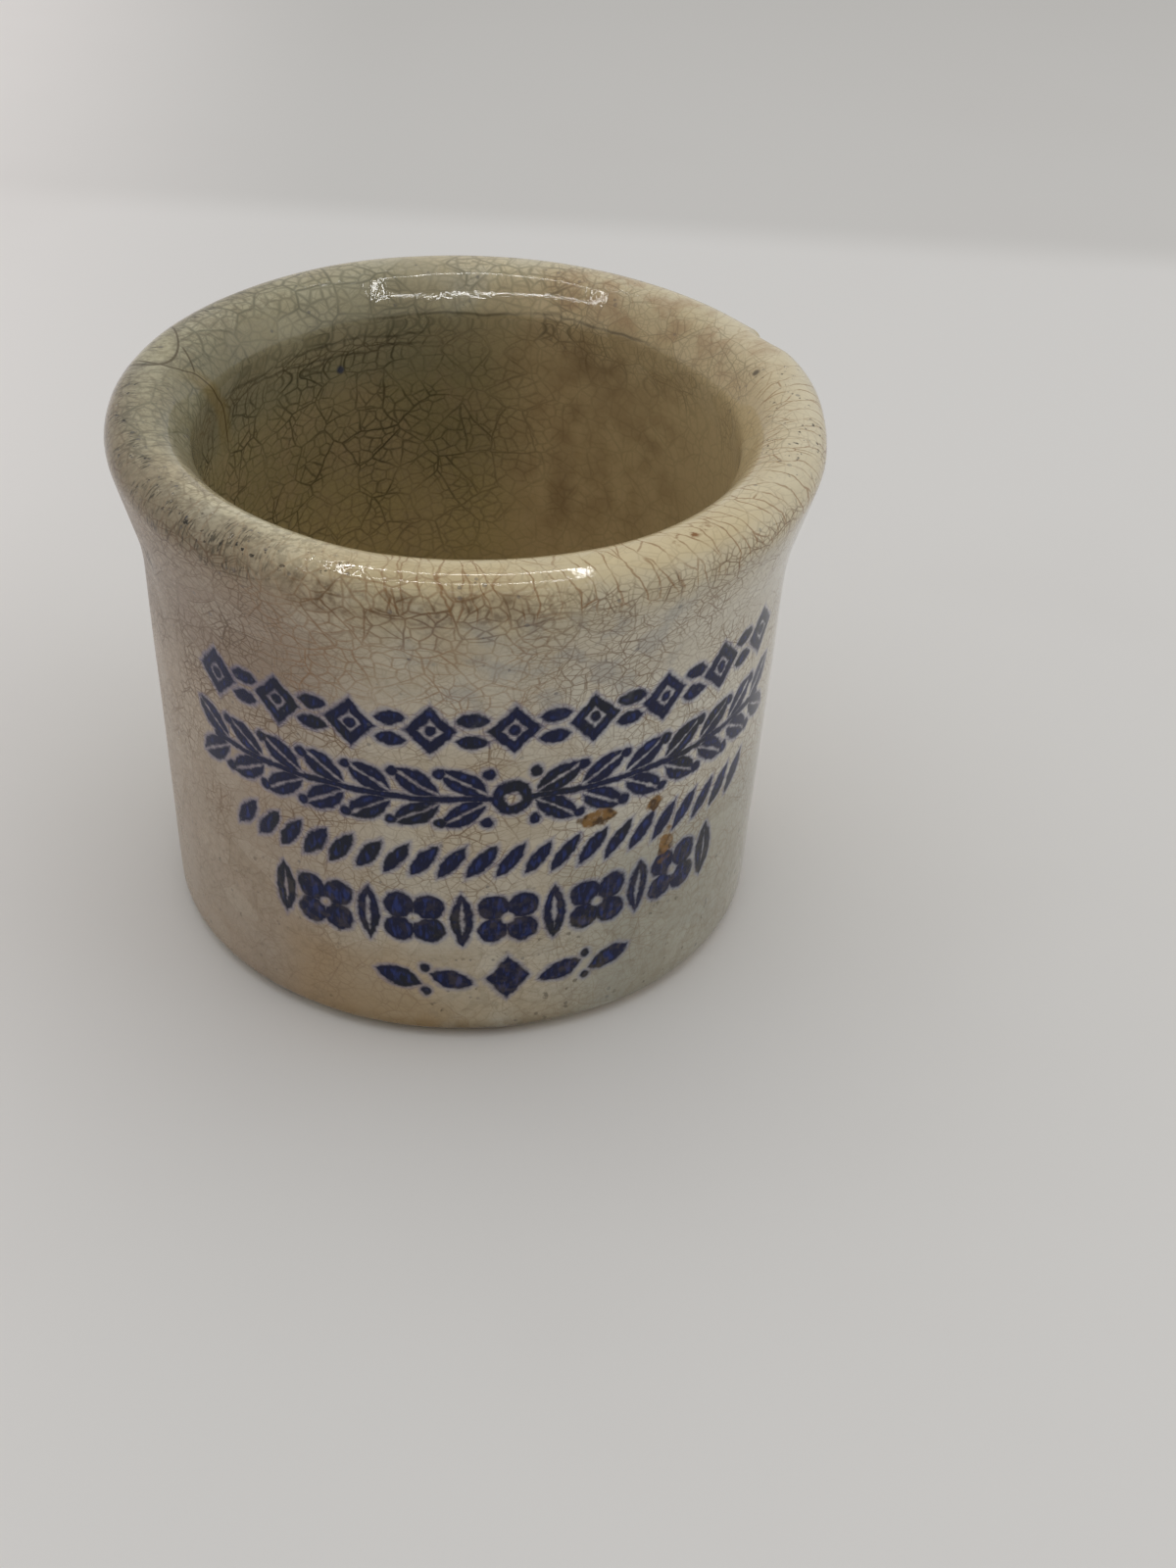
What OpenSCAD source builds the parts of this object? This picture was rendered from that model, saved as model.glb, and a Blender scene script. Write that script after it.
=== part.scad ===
// Ointment pot: a small turned earthenware pot with a flared, rolled lip and a clear glaze.
// The wall's section is a belt: circles in the plane of radius and height, joined by the
// straight lines that touch them, then turned about Z. Drawing the glaze in from its own
// surface only takes the glaze's thickness off each circle, so the coat is even all over.
// Millimetres, +Z up. The origin is the centre of the foot ring, on the table.

/* [Overall] */
// Height from the table to the top of the lip
pot_h = 38.2; // [30:0.1:50]
// Diameter across the widest part of the lip
rim_d = 48; // [36:0.1:64]

/* [Wall] */
// How far the lip stands out past the neck, where the flare begins
lip_overhang = 2; // [1.2:0.1:4]
// How far the heel is drawn in from the neck
wall_taper = 0.9; // [0:0.1:4]
// Depth of the neck below the top of the lip
neck_drop = 11.9; // [8:0.1:16]
// Share of the flare that is curved, the rest being straight
flare_sweep = 0.8; // [0.3:0.05:0.95]
// Thickness of the wall at the neck, glaze included
wall_t = 3.7; // [3.2:0.1:4.5]

/* [Lip] */
// Radius of the lip's outer edge
rim_round = 1.2; // [0.8:0.1:1.6]
// Depth of the lip's widest line below its top
rim_drop = 1.65; // [1.3:0.05:2.4]
// Radius of the lip's crest
crest_round = 2.5; // [2:0.1:2.8]
// Distance of the crest's top in from the widest part of the lip
crest_in = 2.6; // [2.2:0.1:3]
// Radius of the turn from the crest into the mouth
throat_round = 1.6; // [1:0.1:1.8]
// Depth below the lip's top at which the inside wall becomes straight
throat_drop = 3.05; // [2.6:0.05:4]

/* [Inside] */
// Height of the inside floor above the table
floor_h = 4.2; // [3.2:0.1:8]
// Radius of the turn from the inside wall to the floor
floor_round = 5; // [2:0.5:10]

/* [Foot] */
// Distance of the foot's edge in from the heel
foot_in = 1.4; // [0.8:0.1:2.5]
// Height of the heel above the table
heel_h = 1.25; // [1:0.05:2]
// Radius of the heel's edge
heel_round = 0.6; // [0.4:0.05:0.9]
// Width of the flat foot ring
foot_ring_w = 3.2; // [2:0.1:6]
// Depth of the recess inside the foot ring
recess_h = 0.8; // [0.5:0.1:1.2]

/* [Glaze] */
// Thickness of the glaze
glaze_t = 0.3; // [0.15:0.05:0.35]
// Bare margin between the glazed base and the side of its recess
base_margin = 0.5; // [0.2:0.1:2]

/* [Chip] */
// Place of the chip round the lip, counter-clockwise from +X
chip_angle = 27; // [0:1:359]
// Angle of the chip's middle above the lip's widest line
chip_tilt = 35; // [0:1:60]
// Length of the chip along the lip
chip_l = 4.2; // [2:0.1:6]
// Depth of the chip into the lip
chip_depth = 0.55; // [0.4:0.05:0.9]

/* [Hidden] */
$fn = 96;

biscuit_colour = [0.82, 0.77, 0.66];
glaze_colour = [0.71, 0.69, 0.54];
base_colour = [0.74, 0.71, 0.60];

// Largest turn between two points of an arc, in degrees
arc_step = 10;

neck_r = rim_d / 2 - lip_overhang;
heel_r = neck_r - wall_taper;
bore_r = neck_r - wall_t;
foot_r = heel_r - foot_in;
recess_r = foot_r - foot_ring_w;
base_r = recess_r - base_margin;

// The widest hollow curve that still leaves the lip's outer edge outside it
rim_x = rim_d / 2 - rim_round;
rim_rise = neck_drop - rim_drop;
neck_x = neck_r - rim_x;
flare_limit = (neck_x ^ 2 + rim_rise ^ 2 - rim_round ^ 2) / (2 * (rim_round - neck_x));
flare_round = flare_sweep * flare_limit;

// Each knot of the belt is a circle, [radius from the axis, height, its own radius], in the
// order foot, heel, flare, rim, crest, throat, floor corner, axis. The clay lies to the left
// of the belt, and a circle to the right of it, in a hollow, has a negative radius.
BELT = [
    [foot_r, 0, glaze_t],
    [heel_r - heel_round, heel_h, heel_round],
    [neck_r + flare_round, pot_h - neck_drop, -flare_round],
    [rim_x, pot_h - rim_drop, rim_round],
    [rim_d / 2 - crest_in, pot_h - crest_round, crest_round],
    [bore_r + throat_round, pot_h - throat_drop, throat_round],
    [bore_r - floor_round, floor_h + floor_round, -floor_round],
    [0, floor_h, 0]
];

// The chip is a scoop whose ball meets the lip in a hollow of the given length and depth
chip_ball_r = (chip_l ^ 2 / 4 + chip_depth ^ 2) / (2 * chip_depth);
chip_reach = rim_round - chip_depth + chip_ball_r;
chip_x = rim_x + chip_reach * cos(chip_tilt);
chip_z = pot_h - rim_drop + chip_reach * sin(chip_tilt);

// Unit vector to the left of a direction
function to_left(angle) = [-sin(angle), cos(angle)];

// Direction of the line that touches one circle and then the next
function aim(a, b) =
    let (d = [b.x - a.x, b.y - a.y])
    atan2(d.y, d.x) - asin((b.z - a.z) / norm(d));

// Turn from one direction to another, the short way
function turn(from, to) =
    let (d = to - from)
    d > 180 ? d - 360 : d < -180 ? d + 360 : d;

// Points along the belt, drawn in towards the clay by a distance
function belt_line(inset) =
    let (
        knots = [for (k = BELT) [k.x, k.y, k.z - inset]],
        last = len(knots) - 1,
        aims = [for (i = [0:last - 1]) aim(knots[i], knots[i + 1])]
    )
    [
        for (i = [0:last])
            let (
                start = aims[max(i - 1, 0)],
                sweep = turn(start, aims[min(i, last - 1)]),
                steps = ceil(abs(sweep) / arc_step)
            )
            for (s = [0:steps])
                [knots[i].x, knots[i].y] - knots[i].z * to_left(start + sweep * s / max(steps, 1))
    ];

// The belt without its first point, which is the bare foot's edge
function glazed_line(inset) =
    let (line = belt_line(inset))
    [for (i = [1:len(line) - 1]) line[i]];

function reversed(points) = [for (i = [len(points) - 1:-1:0]) points[i]];

module chip() {
    rotate(chip_angle)
        translate([chip_x, 0, chip_z])
            sphere(chip_ball_r);
}

// The fired clay, bare at the foot ring
module earthenware_body() {
    color(biscuit_colour)
        difference() {
            rotate_extrude()
                polygon(concat(
                    [[0, recess_h], [recess_r, recess_h], [recess_r, 0]],
                    belt_line(glaze_t)
                ));
            chip();
        }
}

// The clear glaze over the outside, the lip and the inside
module glaze_coat() {
    color(glaze_colour)
        difference() {
            rotate_extrude()
                polygon(concat(glazed_line(0), reversed(glazed_line(glaze_t))));
            chip();
        }
}

// The wiped glaze left under the base, inside the foot ring
module base_glaze() {
    color(base_colour)
        translate([0, 0, recess_h - glaze_t])
            cylinder(r = base_r, h = glaze_t);
}

earthenware_body();
glaze_coat();
base_glaze();
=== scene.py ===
"""A small glazed earthenware ointment pot with a crazed, stained glaze and a cobalt ornament.

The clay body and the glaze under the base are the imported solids. The glaze coat is turned
here as a shell of its own, with its unevenness and its chip, and stands for the CAD coat.
"""
import math
from functools import reduce

import bpy
import numpy as np
from mathutils import Matrix, Vector


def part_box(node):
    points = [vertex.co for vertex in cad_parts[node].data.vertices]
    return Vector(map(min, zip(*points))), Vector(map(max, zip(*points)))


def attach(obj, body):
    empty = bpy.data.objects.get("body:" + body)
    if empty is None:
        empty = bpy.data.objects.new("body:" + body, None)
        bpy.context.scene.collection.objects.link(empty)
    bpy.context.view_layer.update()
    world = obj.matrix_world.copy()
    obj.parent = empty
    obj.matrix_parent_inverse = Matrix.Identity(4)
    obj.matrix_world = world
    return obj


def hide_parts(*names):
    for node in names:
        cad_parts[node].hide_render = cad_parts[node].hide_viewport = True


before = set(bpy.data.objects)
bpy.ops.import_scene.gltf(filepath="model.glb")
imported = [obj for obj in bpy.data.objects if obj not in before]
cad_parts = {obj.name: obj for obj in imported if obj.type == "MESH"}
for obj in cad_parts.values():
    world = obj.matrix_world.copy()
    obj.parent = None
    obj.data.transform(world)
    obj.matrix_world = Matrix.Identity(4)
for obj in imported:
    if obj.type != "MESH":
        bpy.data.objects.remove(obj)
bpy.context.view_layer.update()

MM = 0.001

# The coat's own extent gives the lip's radius and the pot's height
_, COAT_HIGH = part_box("glaze_coat")
RIM_R = COAT_HIGH[0] / MM
POT_H = COAT_HIGH[2] / MM

# The section of the wall, in millimetres. The lip's edge is rounder than the CAD coat's
LIP_OVERHANG = 2.0
WALL_TAPER = 0.9
NECK_DROP = 11.9
FLARE_SWEEP = 0.8
WALL_T = 3.7
RIM_ROUND = 1.9
RIM_DROP = 1.9
CREST_ROUND = 2.5
CREST_IN = 2.6
THROAT_ROUND = 1.6
THROAT_DROP = 3.05
FLOOR_H = 4.2
FLOOR_ROUND = 5.0
FOOT_IN = 1.4
HEEL_H = 1.25
HEEL_ROUND = 0.6
GLAZE_T = 0.3

NECK_R = RIM_R - LIP_OVERHANG
HEEL_R = NECK_R - WALL_TAPER
BORE_R = NECK_R - WALL_T

# One degree round the neck, as a length
DEGREE = math.radians(1) * NECK_R

# The chip in the lip, at the back right: deep at its steep end, and running out to the right
CHIP_END = 30.0
CHIP_STEEP = 1.7
CHIP_RUNOUT = 9.0
CHIP_TILT = 40.0
CHIP_REACH = 45.0
CHIP_DEPTH = 0.66

# Where the lip was pressed out of round, beside the chip
BULGE_ANGLE = 15.0
BULGE_RISE = 0.3
BULGE_REACH = 9.0

# How finely the shell is turned
TURNS = 288
ARC_STEP = 9.0
ARC_LENGTH = 0.35
STRAIGHT_STEP = 1.0
LEAST_PIECES = 3
SOFT_PASSES = 2
MERGE_GAP = 0.001
SHARP_ANGLE = 35.0

# The unevenness that turning and firing leave: the size of the swells, and their depth
SLOW_SWELLS = (13.0, 0.16)
LIP_RIPPLES = (3.2, 0.04)


# Modelling helpers

def set_mode(mode):
    bpy.ops.object.mode_set(mode=mode)


def start_clean():
    """Leaves edit mode and deselects everything."""
    if bpy.context.object and bpy.context.object.mode != "OBJECT":
        set_mode("OBJECT")
    bpy.ops.object.select_all(action="DESELECT")


def pick(piece):
    """Makes a piece the active one, and the only one selected."""
    start_clean()
    bpy.context.view_layer.objects.active = piece
    piece.select_set(True)


def apply_modifier(piece, kind, **settings):
    """Adds one modifier to a piece and applies it."""
    pick(piece)
    bpy.ops.object.modifier_add(type=kind)
    modifier = piece.modifiers[-1]
    for name, value in settings.items():
        setattr(modifier, name, value)
    bpy.ops.object.modifier_apply(modifier=modifier.name)


def turned(name, line):
    """A line of points in the XZ plane, extruded point by point and spun about Z."""
    start_clean()
    bpy.ops.mesh.primitive_plane_add(size=MM)
    piece = bpy.context.object
    piece.name = name
    set_mode("EDIT")
    bpy.ops.mesh.select_mode(type="VERT")
    bpy.ops.mesh.select_all(action="SELECT")
    bpy.ops.mesh.merge(type="CENTER")
    points = [Vector((r, 0.0, z)) * MM for r, z in line]
    bpy.ops.transform.translate(value=points[0])
    for here, there in zip(points, points[1:]):
        bpy.ops.mesh.extrude_vertices_move(TRANSFORM_OT_translate={"value": there - here})
    bpy.ops.mesh.select_all(action="SELECT")
    bpy.ops.mesh.spin(steps=TURNS, angle=math.tau, center=(0, 0, 0), axis=(0, 0, 1))
    bpy.ops.mesh.select_all(action="SELECT")
    bpy.ops.mesh.remove_doubles(threshold=MERGE_GAP * MM)
    bpy.ops.mesh.normals_make_consistent(inside=False)
    set_mode("OBJECT")
    return piece


# The section

def belt_knots():
    """The circles that the section runs round: radius from the axis, height, own radius."""
    rim_x = RIM_R - RIM_ROUND
    rise = NECK_DROP - RIM_DROP
    neck_x = NECK_R - rim_x
    limit = (neck_x ** 2 + rise ** 2 - RIM_ROUND ** 2) / (2 * (RIM_ROUND - neck_x))
    flare = FLARE_SWEEP * limit
    return [
        (HEEL_R - FOOT_IN, 0.0, GLAZE_T),
        (HEEL_R - HEEL_ROUND, HEEL_H, HEEL_ROUND),
        (NECK_R + flare, POT_H - NECK_DROP, -flare),
        (rim_x, POT_H - RIM_DROP, RIM_ROUND),
        (RIM_R - CREST_IN, POT_H - CREST_ROUND, CREST_ROUND),
        (BORE_R + THROAT_ROUND, POT_H - THROAT_DROP, THROAT_ROUND),
        (BORE_R - FLOOR_ROUND, FLOOR_H + FLOOR_ROUND, -FLOOR_ROUND),
        (0.0, FLOOR_H, 0.0),
    ]


def belt_line(inset, arc_length):
    """Points of the section from the heel to the axis, drawn in towards the clay by inset."""
    knots = [(x, y, own - inset) for x, y, own in belt_knots()]
    aims = []
    for (ax, ay, a_own), (bx, by, b_own) in zip(knots, knots[1:]):
        span = math.hypot(bx - ax, by - ay)
        aims.append(math.atan2(by - ay, bx - ax) - math.asin((b_own - a_own) / span))
    line = []
    for i, (x, y, own) in enumerate(knots):
        start = aims[max(i - 1, 0)]
        sweep = (aims[min(i, len(aims) - 1)] - start + math.pi) % math.tau - math.pi
        steps = math.ceil(abs(sweep) * max(1 / math.radians(ARC_STEP), abs(own) / arc_length))
        for s in range(steps + 1):
            aim = start + sweep * s / max(steps, 1)
            line.append((x + own * math.sin(aim), y - own * math.cos(aim)))
    return line[1:]


def with_even_steps(line):
    """The same line with extra points on its straight stretches."""
    fuller = [line[0]]
    for (ar, az), (br, bz) in zip(line, line[1:]):
        length = math.hypot(br - ar, bz - az)
        pieces = 1
        if length > 2 * ARC_LENGTH:
            pieces = max(LEAST_PIECES, math.ceil(length / STRAIGHT_STEP))
        for k in range(1, pieces + 1):
            fuller.append((ar + (br - ar) * k / pieces, az + (bz - az) * k / pieces))
    return fuller


def softened(line):
    """The same line with its joins between straights and arcs eased, as a glaze flows over them."""
    for _ in range(SOFT_PASSES):
        middle = [
            ((ar + 2 * br + cr) / 4, (az + 2 * bz + cz) / 4)
            for (ar, az), (br, bz), (cr, cz) in zip(line, line[1:], line[2:])
        ]
        line = [line[0], *middle, line[-1]]
    return line


def vertex_places(mesh):
    """The places of a mesh's vertices, as an array with a row for each."""
    spots = np.empty(len(mesh.vertices) * 3)
    mesh.vertices.foreach_get("co", spots)
    return spots.reshape(-1, 3)


def mark_run(piece, line):
    """Stores on each vertex how far along the section it lies, in millimetres from the heel."""
    mesh = piece.data
    spots = vertex_places(mesh) / MM
    flat = np.stack([np.hypot(spots[:, 0], spots[:, 1]), spots[:, 2]], axis=1)
    best = np.full(len(flat), np.inf)
    run = np.zeros(len(flat))
    travelled = 0.0
    for a, b in zip(np.array(line), np.array(line[1:])):
        step = b - a
        length = np.hypot(*step)
        along = np.clip((flat - a) @ step / length ** 2, 0.0, 1.0)
        gap = np.hypot(*(flat - a - along[:, None] * step).T)
        nearer = gap < best
        best[nearer] = gap[nearer]
        run[nearer] = travelled + along[nearer] * length
        travelled += length
    mesh.attributes.new("run", "FLOAT", "POINT").data.foreach_set("value", run)


# The glaze coat

def uneven(piece, name, size, depth):
    """Gives a surface soft swells of a given size and depth."""
    swells = bpy.data.textures.new(name, "CLOUDS")
    swells.noise_scale = size * MM
    swells.noise_depth = 1
    apply_modifier(
        piece, "DISPLACE", texture=swells, texture_coords="LOCAL", strength=depth * MM, mid_level=0.5
    )


def lip_point(angle, rise):
    """A point at an angle round the lip, and so far out of its rounded edge, at the chip's tilt."""
    tilt = math.radians(CHIP_TILT)
    turn = math.radians(angle)
    out = RIM_R - RIM_ROUND + (RIM_ROUND + rise) * math.cos(tilt)
    up = POT_H - RIM_DROP + (RIM_ROUND + rise) * math.sin(tilt)
    return Vector((out * math.cos(turn), out * math.sin(turn), up)) * MM


def bulge(piece):
    """Draws the lip out of round beside the chip, with a soft falloff."""
    start = lip_point(BULGE_ANGLE, 0.0)
    pick(piece)
    nearest = min(piece.data.vertices, key=lambda vertex: (vertex.co - start).length).index
    set_mode("EDIT")
    bpy.ops.mesh.select_all(action="DESELECT")
    set_mode("OBJECT")
    piece.data.vertices[nearest].select = True
    set_mode("EDIT")
    bpy.ops.transform.translate(
        value=lip_point(BULGE_ANGLE, BULGE_RISE) - start, use_proportional_edit=True,
        proportional_edit_falloff="SMOOTH", proportional_size=BULGE_REACH * MM,
    )
    set_mode("OBJECT")


def smooth_rise(value, low, high):
    """0 before low, 1 after high, and a smooth rise between them."""
    share = np.clip((value - low) / (high - low), 0.0, 1.0)
    return share * share * (3.0 - 2.0 * share)


def chip(piece):
    """Presses the old chip into the lip, as a step that runs out to one side, glazed over."""
    mesh = piece.data
    spots = vertex_places(mesh)
    angle = np.degrees(np.arctan2(spots[:, 1], spots[:, 0]))
    out = np.hypot(spots[:, 0], spots[:, 1]) / MM - (RIM_R - RIM_ROUND)
    up = spots[:, 2] / MM - (POT_H - RIM_DROP)
    tilt = np.degrees(np.arctan2(up, out))
    past = CHIP_END - angle
    along = smooth_rise(past, 0.0, CHIP_STEEP) * smooth_rise(past, CHIP_STEEP + CHIP_RUNOUT, CHIP_STEEP)
    across = smooth_rise(np.abs(tilt - CHIP_TILT), CHIP_REACH, 0.0)
    on_lip = np.hypot(out, up) < 2 * RIM_ROUND
    depth = along * (across * on_lip)
    inward = lip_point(CHIP_END, 0.0) - lip_point(CHIP_END, CHIP_DEPTH)
    spots += depth[:, None] * np.array(inward)
    mesh.vertices.foreach_set("co", spots.ravel())
    mesh.update()


def close_heel(piece):
    """Joins the coat's outer and inner skins where it ends at the heel, so that the shell is closed."""
    pick(piece)
    set_mode("EDIT")
    bpy.ops.mesh.select_mode(type="EDGE")
    bpy.ops.mesh.select_all(action="SELECT")
    bpy.ops.mesh.delete_loose(use_verts=True, use_edges=True, use_faces=False)
    bpy.ops.mesh.select_all(action="DESELECT")
    bpy.ops.mesh.select_non_manifold(
        use_wire=False, use_multi_face=False, use_non_contiguous=False, use_verts=False
    )
    bpy.ops.mesh.bridge_edge_loops()
    bpy.ops.mesh.select_all(action="SELECT")
    bpy.ops.mesh.normals_make_consistent(inside=False)
    set_mode("OBJECT")


def glaze_shell():
    """The glaze coat: an even skin over the outside, the lip and the inside, with its chip."""
    outside = softened(with_even_steps(belt_line(0.0, ARC_LENGTH)))
    inside = belt_line(GLAZE_T, STRAIGHT_STEP)
    piece = turned("glaze_shell", outside + inside[::-1])
    uneven(piece, "slow_swells", *SLOW_SWELLS)
    uneven(piece, "lip_ripples", *LIP_RIPPLES)
    mark_run(piece, outside)
    bulge(piece)
    chip(piece)
    close_heel(piece)
    pick(piece)
    bpy.ops.object.shade_smooth_by_angle(angle=math.radians(SHARP_ANGLE))
    return piece


shell = glaze_shell()
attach(shell, "root")
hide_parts("glaze_coat")


# Shader helpers

# The mix node's sockets for colours
MIX_SHARE = 0
MIX_UNDER = 6
MIX_OVER = 7
MIX_RESULT = 2


def srgb(red, green, blue):
    """A colour written as it looks, 0 to 255, as the linear values that a shader takes."""
    levels = (red / 255, green / 255, blue / 255)
    return tuple(v / 12.92 if v <= 0.04045 else ((v + 0.055) / 1.055) ** 2.4 for v in levels)


def feed(slot, value):
    """Joins a field to an input, or sets the input to a plain number or colour."""
    if isinstance(value, Field):
        slot.id_data.links.new(value.socket, slot)
    elif slot.type == "RGBA":
        slot.default_value = (*value, 1.0)
    else:
        slot.default_value = value


def add_node(tree, kind, inputs=(), **settings):
    """A node with its settings, and its inputs fed in order or by name."""
    node = tree.nodes.new(kind)
    for name, value in settings.items():
        setattr(node, name, value)
    pairs = inputs.items() if isinstance(inputs, dict) else enumerate(inputs)
    for key, value in pairs:
        feed(node.inputs[key], value)
    return node


class Field:
    """A value or colour that varies over a surface: a socket of a shader tree, with arithmetic."""

    def __init__(self, socket):
        self.socket = socket
        self.tree = socket.id_data

    def math(self, operation, *others):
        node = add_node(self.tree, "ShaderNodeMath", (self, *others), operation=operation)
        return Field(node.outputs[0])

    def __add__(self, other):
        return self.math("ADD", other)

    def __sub__(self, other):
        return self.math("SUBTRACT", other)

    def __mul__(self, other):
        return self.math("MULTIPLY", other)

    def __truediv__(self, other):
        return self.math("DIVIDE", other)

    def __neg__(self):
        return self.math("MULTIPLY", -1.0)

    def __abs__(self):
        return self.math("ABSOLUTE")

    def most(self, other):
        return self.math("MAXIMUM", other)

    def least(self, other):
        return self.math("MINIMUM", other)

    def inverse(self):
        return -self + 1.0

    def rising(self, low, high):
        """0 below low, 1 above high, and a smooth rise between them."""
        node = add_node(
            self.tree, "ShaderNodeMapRange", (self, low, high), interpolation_type="SMOOTHSTEP"
        )
        return Field(node.outputs[0])

    def near(self, centre, reach, soft):
        """1 within reach of a value, fading to 0 over soft."""
        return abs(self - centre).rising(reach, soft + reach).inverse()

    def parts(self):
        """The three parts of a vector or colour."""
        return [Field(s) for s in add_node(self.tree, "ShaderNodeSeparateXYZ", (self,)).outputs]


def hypot(a, b):
    return (a * a + b * b).math("SQRT")


def paint(under, mask, over):
    """One colour laid over another where the mask is 1."""
    inputs = {MIX_SHARE: mask, MIX_UNDER: under, MIX_OVER: over}
    return Field(add_node(under.tree, "ShaderNodeMix", inputs, data_type="RGBA").outputs[MIX_RESULT])


def point(x, y):
    return Field(add_node(x.tree, "ShaderNodeCombineXYZ", (x, y)).outputs[0])


def scaled(where, factor):
    inputs = {"Vector": where, "Scale": factor}
    node = add_node(where.tree, "ShaderNodeVectorMath", inputs, operation="SCALE")
    return Field(node.outputs["Vector"])


def noise(where, size, detail=2.0, output="Fac"):
    """Soft noise with features of a given size, in the units of the vector."""
    inputs = {"Vector": where, "Scale": 1.0 / size, "Detail": detail}
    return Field(add_node(where.tree, "ShaderNodeTexNoise", inputs).outputs[output])


def cells(where, feature, dimensions="2D"):
    """A Voronoi texture of unit cells. Returns the node, for whichever output is needed."""
    return add_node(
        where.tree, "ShaderNodeTexVoronoi", {"Vector": where, "Scale": 1.0},
        feature=feature, voronoi_dimensions=dimensions,
    )


def ramp(value, stops):
    """Colours along a value from 0 to 1, given as (place, colour) pairs."""
    node = add_node(value.tree, "ShaderNodeValToRGB", (value,))
    elements = node.color_ramp.elements
    while len(elements) < len(stops):
        elements.new(0.5)
    for element, (place, colour) in zip(elements, stops):
        element.position = place
        element.color = (*colour, 1.0)
    return Field(node.outputs["Color"])


def curve(value, points):
    """A value read off a smooth curve through the given points, all from 0 to 1."""
    node = add_node(value.tree, "ShaderNodeFloatCurve", {"Value": value})
    line = node.mapping.curves[0]
    for place, height in points[2:]:
        line.points.new(place, height)
    for spot, (place, height) in zip(line.points, points):
        spot.location = (place, height)
    node.mapping.update()
    return Field(node.outputs["Value"])


def new_group(name, inputs, outputs):
    """An empty shader node group. Returns the tree, its inputs as fields and its output node.

    Its sockets are plain numbers, apart from Spot, which is a place.
    """
    tree = bpy.data.node_groups.new(name, "ShaderNodeTree")
    for way, labels in (("INPUT", inputs), ("OUTPUT", outputs)):
        for label in labels:
            kind = "NodeSocketVector" if label == "Spot" else "NodeSocketFloat"
            tree.interface.new_socket(name=label, in_out=way, socket_type=kind)
    source = tree.nodes.new("NodeGroupInput")
    given = {label: Field(source.outputs[label]) for label in inputs}
    return tree, given, tree.nodes.new("NodeGroupOutput")


def give(out, **fields):
    """Joins a group's results to its outputs, named with _ for a space."""
    for label, field in fields.items():
        feed(out.inputs[label.replace("_", " ")], field)


def use_group(tree, group, **inputs):
    """Places a group in a tree. Returns its outputs as fields."""
    node = tree.nodes.new("ShaderNodeGroup")
    node.node_tree = group
    for label, value in inputs.items():
        feed(node.inputs[label], value)
    return {socket.name: Field(socket) for socket in node.outputs}


def new_material(name):
    material = bpy.data.materials.new(name)
    material.use_nodes = True
    tree = material.node_tree
    return material, tree, tree.nodes["Principled BSDF"]


def relief(shader, height):
    """Bump from a height in millimetres."""
    bump = add_node(height.tree, "ShaderNodeBump", {"Height": height, "Distance": MM, "Strength": 1.0})
    feed(shader.inputs["Normal"], Field(bump.outputs["Normal"]))


# Effects that the materials share

# How far the cracks waver, and over what length
SHAKE = 0.9
SHAKE_SIZE = 2.6

# Where the inside and the floor begin along the section, and its length
THROAT_RUN = 44.0
FLOOR_RUN = 75.0
RUN_LENGTH = 91.2

# The long cracks' cells against the fine ones, and how far the fine ones jump from cell to cell
COARSE_SHARE = 0.36
PATCH_JUMP = 9.0

# The specks' radii and soft edge, as shares of a cell
SPECK_LEAST = 0.08
SPECK_RANGE = 0.2
SPECK_SOFT = 0.12


def places_group():
    """Where a point lies on the pot, in millimetres and degrees.

    Turn is the angle from the front, positive to the right, and Back Turn the same from the
    back. Around is Turn as a length on a cylinder of the neck's radius. The net's own pair is
    shaken a little so that cracks waver, is counted from the back inside the pot, and lies
    flat on the floor.
    """
    tree, _, out = new_group(
        "pot_places", (),
        ("Spot", "Turn", "Back Turn", "Around", "Height", "Run", "Net Around", "Net Run"),
    )
    spot = scaled(Field(tree.nodes.new("ShaderNodeTexCoord").outputs["Object"]), 1 / MM)
    run = Field(add_node(tree, "ShaderNodeAttribute", attribute_name="run").outputs["Fac"])
    x, y, z = spot.parts()
    turn = x.math("ARCTAN2", -y).math("DEGREES")
    back_turn = (-x).math("ARCTAN2", y).math("DEGREES")
    shake_x, shake_y, shake_run = noise(spot, SHAKE_SIZE, output="Color").parts()
    shaken_x = x + (shake_x - 0.5) * SHAKE
    shaken_y = y + (shake_y - 0.5) * SHAKE
    shaken_run = run + (shake_run - 0.5) * SHAKE
    inside = shaken_run.math("GREATER_THAN", THROAT_RUN)
    on_floor = shaken_run.math("GREATER_THAN", FLOOR_RUN)
    side = inside * 2.0 - 1.0
    net_around = (-(shaken_x * side)).math("ARCTAN2", shaken_y * side) * NECK_R
    give(
        out, Spot=spot, Turn=turn, Back_Turn=back_turn, Around=turn * DEGREE, Height=z, Run=run,
        Net_Around=net_around + (shaken_x - net_around) * on_floor,
        Net_Run=shaken_run + (shaken_y - shaken_run) * on_floor,
    )
    return tree


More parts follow.
